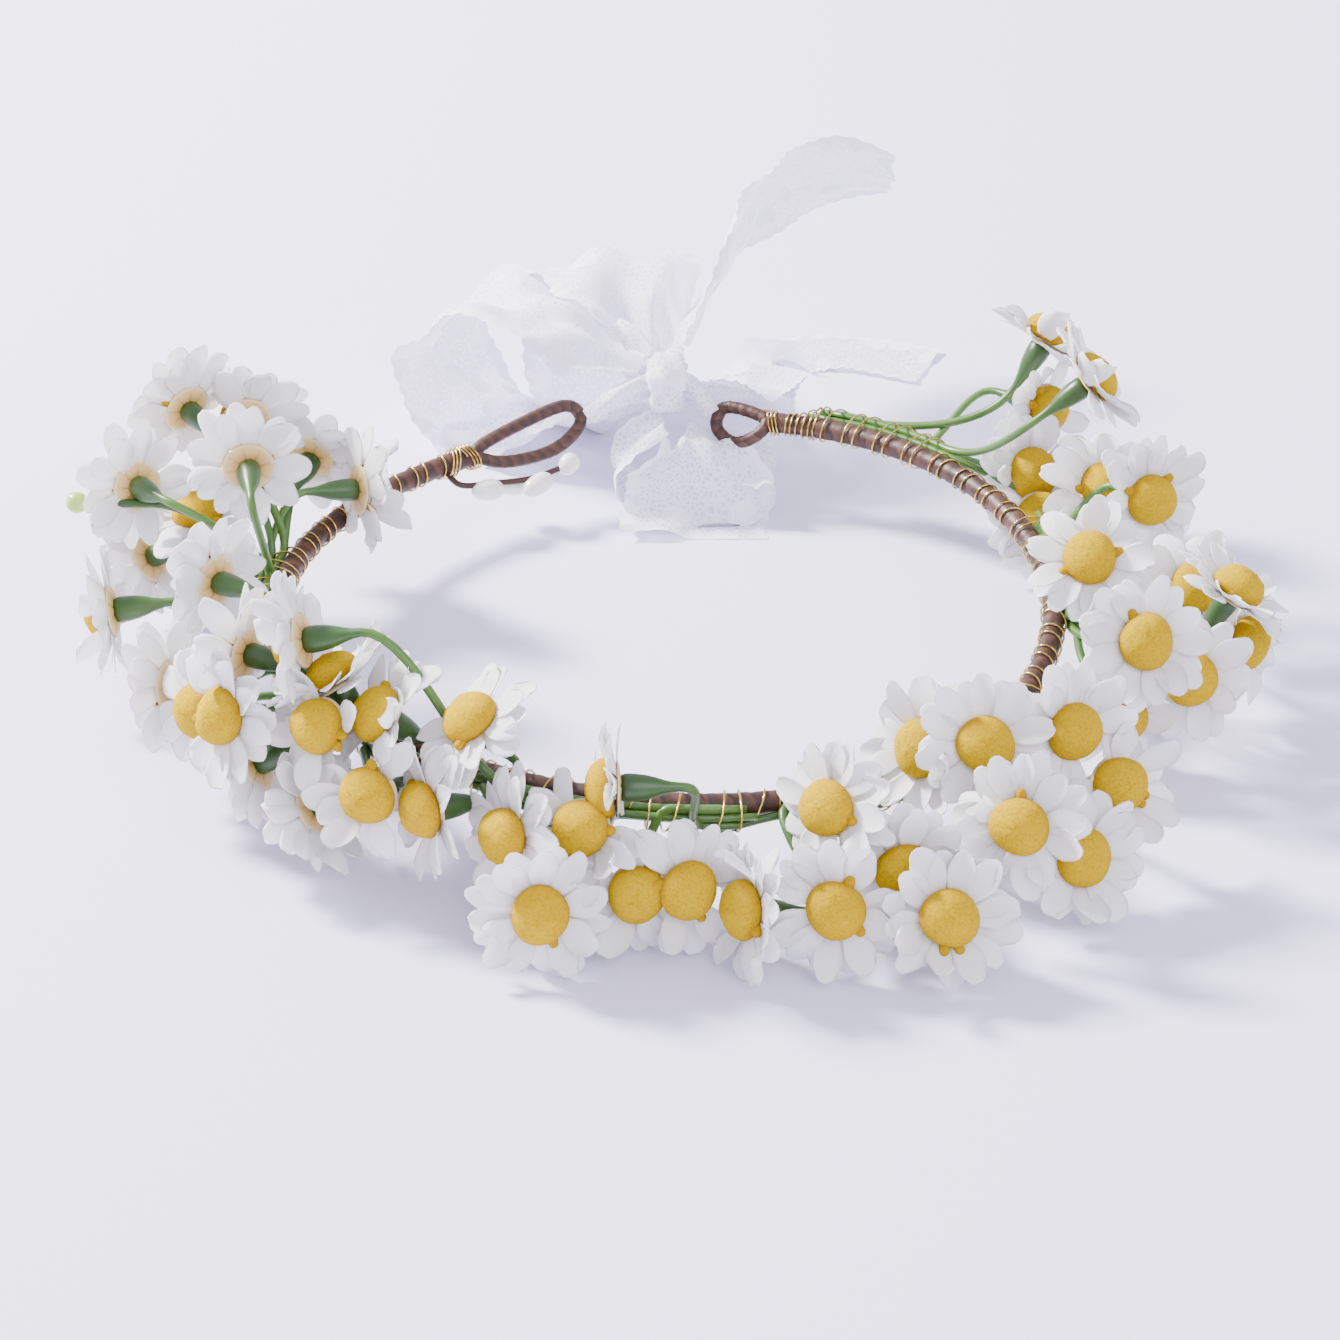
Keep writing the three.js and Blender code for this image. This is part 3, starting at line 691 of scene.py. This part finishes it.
def back(rng, shape, place, axes):
    """The golden disc behind the petals, with creases running out from the calyx and painted shade along the
    creases.
    """
    turns = np.linspace(0, 2 * math.pi, BACK_SIDES, endpoint=False)
    start = rng.uniform(0, 1)
    wave = np.cos(CREASES * turns + start * 6)
    rings, alongs, crease_shades = [], [], []
    for radius, height in BACK_RINGS:
        share = radius / 6.5
        depth = 0.16 * np.clip(wave, -0.2, 1) * (1 - share * 0.6)
        rings.append(np.stack([radius * np.cos(turns), radius * np.sin(turns), height + depth], axis=-1))
        alongs.append(np.full(BACK_SIDES, share))
        # painted shade along each crease groove, strongest near the calyx
        crease_shades.append(np.clip((wave - 0.72) * 3.6, 0, 1) * (1 - share) * 1.1)
    vertices = np.concatenate(rings)
    faces = [f[::-1] for f in grid_faces(len(BACK_RINGS), BACK_SIDES, closed=True)]
    faces.append(list(range(BACK_SIDES)))
    last = (len(BACK_RINGS) - 1) * BACK_SIDES
    faces.append(list(range(last, last + BACK_SIDES))[::-1])
    shade = np.clip(np.concatenate(crease_shades), 0, 1)
    shape.add(place + vertices @ axes, faces, slot=2, along=np.concatenate(alongs), shade=shade)


def meets_dome(points, place):
    """True where a petal would run into the centre of another head."""
    for other in DOMES:
        nearest = np.min(np.linalg.norm(points - other, axis=1))
        if np.linalg.norm(other - place) > 4 and nearest < DOME_CLEARANCE:
            return True
    return False


def head(rng, place, normal, openness=None):
    axes = head_axes(normal, rng.uniform(0, 2 * math.pi))
    shape = Shape()
    count = int(rng.integers(9, 11))
    cup = rng.uniform(0.04, 0.34) if openness is None else openness
    for layer, (height, scale, lift) in enumerate([(-0.1, 0.98, cup), (-0.8, 1.0, cup - 0.12)]):
        number = count
        for k in range(number):
            if rng.random() < 0.04:
                continue
            turn = 2 * math.pi * (k + 0.5 * layer + rng.uniform(-0.22, 0.22)) / number
            radius = HEAD_RADIUS * scale * rng.uniform(0.89, 1.04)
            width = rng.uniform(5.8, 7.7)
            droop = rng.normal(-0.7, 1.9)
            vertices, faces, along = petal(rng, radius, width, lift, droop, height - 0.07 * (k % 3))
            vertices = place + turned(vertices, turn) @ axes
            shade = rng.uniform(0, 1)
            if not meets_dome(vertices, place + normal * DOME_MIDDLE):
                shape.add(vertices, faces, slot=0, along=along, shade=shade)
    dome(rng, shape, place, axes)
    back(rng, shape, place, axes)
    return shape


# ---- stems ------------------------------------------------------------------------------------
CALYX = [
    (-1.5, 2.0), (-1.7, 2.75), (-2.6, 3.1), (-4.6, 3.05), (-7.0, 2.75), (-9.2, 2.25), (-11.2, 1.6),
    (-13.0, 1.2), (-15.0, 1.02),
]
BUNDLE_PLACES = [
    (3.8, 1.1), (3.8, -1.2), (5.7, 0.1), (5.4, 2.2), (5.5, -2.1), (7.4, 1.1), (7.4, -1.0),
    (3.3, 3.1), (3.4, -3.2),
]


def stem_leaves(spray, daisy, index):
    start, end, _ = spray
    inset = 3
    nearest = min(max(daisy[0], start + inset + 0.7 * index), end - inset - 0.9 * index)
    return nearest if daisy[6] is None else daisy[6]


def stem(rng, shape, spray, daisy, index):
    """One stem: bound along the hoop, then curving out and swelling into the calyx."""
    place = hoop_point(*daisy[:3])
    normal = facing(daisy[3], daisy[4])
    bud = daisy[5] == "bud"
    bends = daisy[5] == "bends"
    angle = stem_leaves(spray, daisy, index)
    order = sorted(range(len(spray[2])), key=lambda i: stem_leaves(spray, spray[2][i], i))
    outside, above = BUNDLE_PLACES[order.index(index)]
    leave = min(angle + (0.0 if bends else 4.0), spray[1] + 2)
    first = spray[1] + 5 + 0.6 * index + rng.uniform(-0.5, 0.5)
    bound = [hoop_point(a, outside, above) for a in np.linspace(first, leave, 7)]
    neck = place - normal * 14.5
    away = unit(bound[-1] - bound[-2])
    reach = np.linalg.norm(neck - bound[-1])
    swing = min(0.42 * reach, 14)
    rising = bound[-1] + away * swing * 0.8 + np.array([0, 0, 1.0])
    under = neck - normal * min(0.4 * reach, 13)
    free = bezier([bound[-1], rising, under, neck], 14)[1:]
    lathe = np.array([place + normal * z for z, _ in CALYX][::-1])
    route = np.concatenate([bound, free[:-1], lathe])
    radii = np.concatenate([np.full(len(bound) + len(free) - 1, 1.05), [r for _, r in CALYX][::-1]])
    radii[:2] *= 0.8
    if bud:
        radii = np.minimum(radii, 1.1)
    along = np.concatenate([np.full(len(bound) + len(free) - 1, 0.8), np.linspace(0.62, 0.25, len(lathe))])
    squash_turn = rng.uniform(0, 6)

    def swell(row, turns):
        return 1 + 0.06 * np.cos(2 * turns + squash_turn)

    vertices, faces = tube(route, radii, 12, swell=swell)
    shape.add(vertices, faces, along=np.repeat(along + rng.uniform(-0.15, 0.15), 12))


def bud(shape, place, normal):
    """A small closed bud: a ball on a ringed neck."""
    profile = [
        (-6, 1.15), (-4.6, 1.3), (-4.2, 1.9), (-3.4, 1.9), (-3.0, 1.35), (-1.2, 1.2), (-0.6, 1.7),
        (0.2, 1.75), (0.6, 1.5), (1.4, 1.5), (2.2, 2.3), (3.6, 2.75), (5.0, 2.5), (6.0, 1.6),
        (6.4, 0.5),
    ]
    vertices, faces = tube([place + normal * z for z, _ in profile], [r for _, r in profile], 14)
    shape.add(vertices, faces, along=0.6)


# ---- hoop, eyelets and gold wire --------------------------------------------------------------
def wound(points, radius, pitch, sides=14, closed=False):
    """Paper tape wound round a wire: each turn laps over the one before in a low step."""
    lengths = np.concatenate([[0], np.cumsum(np.linalg.norm(np.diff(points, axis=0), axis=1))])

    def phase(row, turns):
        return (lengths[row] / pitch - turns / (2 * math.pi)) % 1.0

    def swell(row, turns):
        p = phase(row, turns)
        lap = 0.055 * p + 0.02 * np.sin(9 * lengths[row] / pitch)
        return 0.965 + lap

    vertices, faces = tube(points, radius, sides, closed=closed, swell=swell)
    turns = np.linspace(0, 2 * math.pi, sides, endpoint=False)
    # along holds the lap phase, which the paper material turns into painted shade at each step.
    along = np.concatenate([phase(i, turns) for i in range(len(points))])
    return vertices, faces, along


def bundle_weight(angle):
    """How far the stems fill out the binding at a hoop angle, from 0 to 1."""
    best = 0.0
    for spray in SPRAYS.values():
        leaves = sorted(stem_leaves(spray, daisy, i) + 4 for i, daisy in enumerate(spray[2]))
        for a in (angle, angle - 360, angle + 360):
            present = sum(min(max(a - leave + 1, 0), 2) / 2 for leave in leaves)
            ending = min(max((spray[1] + 8.5 - a) / 3, 0), 1)
            best = max(best, min(present / 3, 1) * ending)
    return best


def gold_route():
    """One thin wire wound in pairs of turns along the hoop and over the stems."""
    start, end = HOOP_START + 4, HOOP_END - 1.5
    count = 2600
    t = np.linspace(0, 1, count)
    pairs = 52
    phase = 2 * math.pi * (2 * pairs * t + 0.62 * np.sin(2 * math.pi * pairs * t) / math.pi)
    phase += 2 * math.pi * 4 * np.clip((t - 0.982) / 0.018, 0, 1)
    points = []
    for share, turn in zip(t, phase):
        angle = start + (end - start) * share
        w = bundle_weight(angle)
        across = (3.05 + 2.95 * w) * math.cos(turn) + 2.75 * w
        above = (3.05 + 1.15 * w) * math.sin(turn)
        points.append(hoop_point(angle, across, above))
    return np.array(points)


EYELET_LEFT = [
    (-50.5, 81, -2), (-40, 90, 1), (-27, 98, 3), (-23, 96, -1), (-30, 88, -5), (-43, 81, -5),
]
EYELET_RIGHT = [
    (26.5, 91.5, 2), (20, 96, 3), (15, 98, 2), (13.5, 95, -2), (18, 90, -4), (24, 88.5, -1),
]
SPRIG = [(-58.5, 74.5, -4), (-54, 70.5, -6.4), (-46, 74.5, -8), (-36, 79, -9), (-27, 84, -8)]
PIPS = [
    ((-47, 72.5, -9), 9.5, 2.9, (0.85, 0.45, -0.15)),
    ((-41, 80, -12), 7.5, 2.4, (0.9, 0.3, -0.2)),
    ((-34, 77.5, -10), 9.5, 2.8, (0.75, 0.6, 0.2)),
    ((-26, 84.5, -7.5), 6.4, 2.7, (0.6, 0.6, 0.5)),
]
PIP_PROFILE = [
    (-0.5, 0.12), (-0.44, 0.48), (-0.3, 0.8), (-0.08, 0.98), (0.15, 1.0), (0.33, 0.82),
    (0.44, 0.5), (0.5, 0.16),
]


# ---- lace -------------------------------------------------------------------------------------
def lace_strip(name, rng, line, width_at, across_at, long_steps, wide_steps, wrinkle, gather):
    """A ribbon of lace along a line, scalloped along both edges and gathered near the knot."""
    points = spline(line, long_steps)
    steps = np.linalg.norm(np.diff(points, axis=0), axis=1)
    lengths = np.concatenate([[0], np.cumsum(steps)])
    tangents = np.gradient(points, axis=0)
    tangents /= np.linalg.norm(tangents, axis=1)[:, None]
    s = np.linspace(-1, 1, wide_steps)
    phases = rng.uniform(0, 2 * math.pi, 6)
    rows, cloth, border = [], [], []
    half_flat = max(width_at(i / (long_steps - 1)) for i in range(long_steps)) / 2
    for i, point in enumerate(points):
        t = i / (long_steps - 1)
        side = unit(across_at(t, point))
        side = unit(side - tangents[i] * (side @ tangents[i]))
        normal = np.cross(tangents[i], side)
        half = width_at(t) / 2
        scallop = 1 + 0.045 * abs(math.sin(lengths[i] * math.pi / 5.0))
        pleat = (half_flat - half) / half_flat
        x = s * half * np.where(np.abs(s) > 0.92, scallop, 1.0)
        z = gather * pleat * np.sin(s * math.pi * 3.2 + phases[0] + 0.5 * math.sin(lengths[i] / 9))
        z += wrinkle * np.sin(s * 2.6 + phases[1] + lengths[i] / 11.0)
        z += 0.6 * wrinkle * np.sin(s * 5.3 + phases[2] - lengths[i] / 6.3)
        z += 0.35 * wrinkle * np.sin(s * 8.1 + phases[3] + lengths[i] / 3.7)
        z += 0.3 * np.sin(lengths[i] * math.pi / 2.5) * (np.abs(s) > 0.85)
        rows.append(point + x[:, None] * side + z[:, None] * normal)
        run, flat = np.full(wide_steps, lengths[i]), np.zeros(wide_steps)
        cloth.append(np.stack([run, s * half_flat, flat], axis=-1) * MM)
        border.append(np.clip((np.abs(s) - 0.80) / 0.1, 0, 1))
    shape = Shape()
    vertices = np.concatenate(rows)
    vertices[:, 2] = np.maximum(vertices[:, 2], TABLE + 0.25)
    faces = grid_faces(long_steps, wide_steps)
    shape.add(vertices, faces, cloth=np.concatenate(cloth), border=np.concatenate(border))
    return shape.build(name, [LACE]), lengths[-1], half_flat * 2


def bow_loop(azimuth, outline):
    away = facing(azimuth, 0)
    return [(KNOT[0] + away[0] * r, KNOT[1] + away[1] * r, z) for r, z in outline]


make_camera()
make_stage()
PETAL = petal_material()
FELT = felt_material()
BACK = back_material()
GREEN = green_material("green_stem", (0.010, 0.030, 0.005), (0.028, 0.078, 0.011), (0.075, 0.17, 0.022))
LIME = green_material("lime_bud", (0.24, 0.38, 0.05), (0.34, 0.5, 0.1), (0.46, 0.62, 0.17), 0.25)
PAPER = paper_material()
GOLD = gold_material()
PIP = pip_material()
LACE = lace_material()


def carried(made, body, slot, *nodes):
    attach(made, body)
    if nodes:
        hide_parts(*nodes)


OPENNESS = {"right_back_6": -0.06, "right_back_2": 0.3}


def build_daisies():
    for number, (name, spray) in enumerate(SPRAYS.items()):
        greens = Shape()
        for index, daisy in enumerate(spray[2]):
            rng = np.random.default_rng(1000 * number + 17 * index + 5)
            place = hoop_point(*daisy[:3])
            normal = facing(daisy[3], daisy[4])
            kind = daisy[5]
            label = f"{name}_{index + 1}"
            if kind == "bud":
                stem(rng, greens, spray, daisy, index)
                ball = Shape()
                bud(ball, place, normal)
                made = ball.build("bud_" + label, [LIME])
                carried(made, "crown", "stem_green", "spray_" + name)
                continue
            made = head(rng, place, normal, OPENNESS.get(label)).build("flower_" + label, [PETAL, FELT, BACK])
            if kind == "joined":
                carried(made, "crown", "petal_white", "spray_" + name)
            elif kind == "own":
                carried(made, "crown", "petal_white", "daisy_" + label)
            else:
                carried(made, "bend_" + label, "petal_white", "daisy_" + label)
            if kind != "bends":
                stem(rng, greens, spray, daisy, index)
                continue
            single = Shape()
            stem(rng, single, spray, daisy, index)
            made = single.build("green_" + label, [GREEN])
            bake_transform(made)
            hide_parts("stem_" + label)
        made = greens.build("greens_" + name, [GREEN])
        carried(made, "crown", "stem_green", "spray_" + name)


# hoop angle, radius, slope across the hoop and number of turns
GOLD_TIES = [(123.6, 3.5, 1.5, 3.4), (126.6, 3.6, -1.4, 3.0), (432.6, 3.3, 1.2, 3.2)]


def build_hoop():
    line = np.array([hoop_point(a) for a in np.linspace(HOOP_START - 1.5, HOOP_END + 1.3, 620)])
    shape = Shape()
    vertices, faces, along = wound(line, WRAP_RADIUS, 5.2)
    shape.add(vertices, faces, along=along)
    carried(shape.build("paper_hoop", [PAPER]), "crown", "wrapped_paper", "hoop_wrap", "hoop_core")
    for name, points in (("left", EYELET_LEFT), ("right", EYELET_RIGHT)):
        shape = Shape()
        vertices, faces, along = wound(spline(points, 90, closed=True), 1.75, 3.1, 10, closed=True)
        shape.add(vertices, faces, along=along)
        carried(shape.build("paper_eyelet_" + name, [PAPER]), "crown", "wrapped_paper", "eyelet_" + name)
    route = gold_route()
    shape = Shape()
    vertices, faces = tube(route, GOLD_RADIUS, 5)
    shape.add(vertices, faces, along=0.5)
    for angle, radius, slope, rounds in GOLD_TIES:
        middle, ahead = hoop_point(angle), hoop_point(angle + 0.5) - hoop_point(angle - 0.5)
        ahead = unit(ahead)
        out = unit(middle * [1, 1, 0])
        t = np.linspace(0, 1, 130)
        turn = 2 * math.pi * rounds * t
        wave = (t - 0.5)[:, None] * 3.2 * ahead + slope * np.sin(turn + 0.7)[:, None] * ahead
        round_it = radius * (np.cos(turn)[:, None] * out + np.sin(turn)[:, None] * np.array([0, 0, 1.0]))
        vertices, faces = tube(middle + wave + round_it, GOLD_RADIUS, 5)
        shape.add(vertices, faces, along=0.5)
    carried(shape.build("gilt_binding", [GOLD]), "crown", "gold_wire", "gold_wire")


def build_berries():
    shape = Shape()
    vertices, faces = tube(spline(SPRIG, 24), 0.8, 8)
    shape.add(vertices, faces, slot=1, along=0.4)
    for at, length, radius, way in PIPS:
        way = unit(way)
        points = [np.array(at) + way * length * a for a, _ in PIP_PROFILE]
        vertices, faces = tube(points, [radius * r for _, r in PIP_PROFILE], 16)
        shape.add(vertices, faces, along=0.5)
    carried(shape.build("berries", [PIP, PAPER]), "crown", "berry_white", "berry_sprig")


def build_lace():
    rng = np.random.default_rng(77)
    def loop(name, body, node, azimuth, outline, width, wrinkle):
        line = bow_loop(azimuth, outline)
        side = facing(azimuth + 90, 0)
        made, length, flat_width = lace_strip(
            name, rng, line,
            lambda t: 9 + (width - 9) * min(1, min(t, 1 - t) * 5.5) ** 0.8,
            lambda t, p: side, 120, 36, wrinkle, 2.4)
        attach(made, body)
        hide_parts(node)
        return made

    loop("lace_left", "lace_loops", "lace_loop_left", 145,
         [(8, 7), (34, -13), (58, -20.5), (75, -12), (77, 4), (58, 18), (32, 20), (8, 12)], 40, 2.6)
    loop("lace_back", "lace_loops", "lace_loop_back", 110,
         [(8, 6), (30, -13), (48, -20.5), (61, -8), (59, 12), (40, 27), (24, 26), (8, 13)], 40, 2.6)
    front = [
        (-1, 92, 1), (-13, 91, -8), (-9, 88, -18.5), (8, 87, -21), (23, 88, -18.5), (27, 90, -12),
        (14, 91, -7), (5, 93, -2),
    ]
    made, length, flat_width = lace_strip(
        "lace_front", rng, front,
        lambda t: 13 + 10 * min(1, min(t, 1 - t) * 5),
        lambda t, p: np.array([0, 1.0, 0.1]), 90, 30, 1.0, 1.2)
    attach(made, "lace_front")
    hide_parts("lace_loop_front")
    drape = [
        (6, 90.5, -4), (8, 87, -3), (9, 84, -6.5), (9, 81.5, -12), (8, 79.5, -18.5),
        (7, 75, -20.7), (7, 69, -21),
    ]
    made, length, flat_width = lace_strip(
        "lace_drape", rng, drape,
        lambda t: 13 + 25 * min(1, t * 2.2),
        lambda t, p: np.array([1.0, 0, -0.12]), 70, 40, 1.1, 2.2)
    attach(made, "lace_front")
    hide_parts("lace_loop_front")
    up = [
        (4, 106, 15), (8, 118, 22), (14, 134, 26), (20, 152, 30), (30, 170, 33), (48, 182, 34),
        (64, 186.5, 31),
    ]
    made, length, flat_width = lace_strip(
        "lace_up", rng, up,
        lambda t: (9 + 21 * min(1, t * 3.2)) * (1 if t < 0.6 else 1 - 0.62 * ((t - 0.6) / 0.4) ** 1.5),
        lambda t, p: np.array([0.35, 0, 0.94]), 110, 34, 1.4, 1.5)
    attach(made, "lace_up")
    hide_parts("lace_tail_up")
    flat = [
        (8, 106, 6), (12, 114, 1), (17, 130, -12), (23, 155, -20.6), (34, 176, -21),
        (52, 180, -21), (75, 171, -21),
    ]

    def flat_across(t, p):
        turn = math.radians(min(max((p[0] - 18) * 3.75, 0), 90))
        return np.array([math.cos(turn), math.sin(turn), 0])

    made, length, flat_width = lace_strip(
        "lace_flat", rng, flat,
        lambda t: 8 + 14 * min(1, t * 3.5),
        flat_across, 110, 28, 0.35, 1.2)
    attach(made, "lace_flat")
    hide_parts("lace_tail_flat")


def build_knot():
    rng = np.random.default_rng(5)
    shape = Shape()
    count = 52
    rows = []
    section = np.linspace(0, 2 * math.pi, 20, endpoint=False)
    for i in range(count):
        turn = 2 * math.pi * i / count
        middle = np.array([0, math.cos(turn) * 5.9, math.sin(turn) * 5.9])
        out = np.array([0, math.cos(turn), math.sin(turn)])
        swell = 1 + 0.12 * math.sin(3 * turn + 1) + 0.05 * rng.standard_normal()
        ring = []
        for a in section:
            fold = 1 + 0.1 * math.cos(5 * a + 2 * turn)
            section_point = math.cos(a) * np.array([4.8, 0, 0]) + math.sin(a) * out * 2.3
            ring.append(KNOT + middle + swell * fold * section_point)
        rows += ring
    faces = grid_faces(count, 20, closed=True)
    last = (count - 1) * 20
    faces += [[last + c, last + (c + 1) % 20, (c + 1) % 20, c] for c in range(20)]
    rows = np.array(rows)
    cloth = np.stack([rows[:, 0], rows[:, 1] * 1.1, rows[:, 2]], axis=-1) * MM
    shape.add(rows, faces, cloth=cloth, border=0.35)
    carried(shape.build("knot", [LACE]), "crown", "lace", "lace_knot")
    band = Shape()
    over = [(-21, 95.8, 0.5), (-13, 98.5, 6), (-5, 100, 9), (5, 100, 9), (9, 98.5, 6), (12, 96.2, 1.5)]
    line = spline(over, 60)
    vertices, faces = tube(line, BAND_RADIUS, 14, swell=lambda i, a: 1 + 0.16 * np.cos(4 * a + i * 0.25))
    band.add(vertices, faces, cloth=vertices * MM, border=0.35)
    carried(band.build("tie_band", [LACE]), "crown", "lace", "lace_tie_band")


build_daisies()
build_hoop()
build_berries()
build_lace()
build_knot()
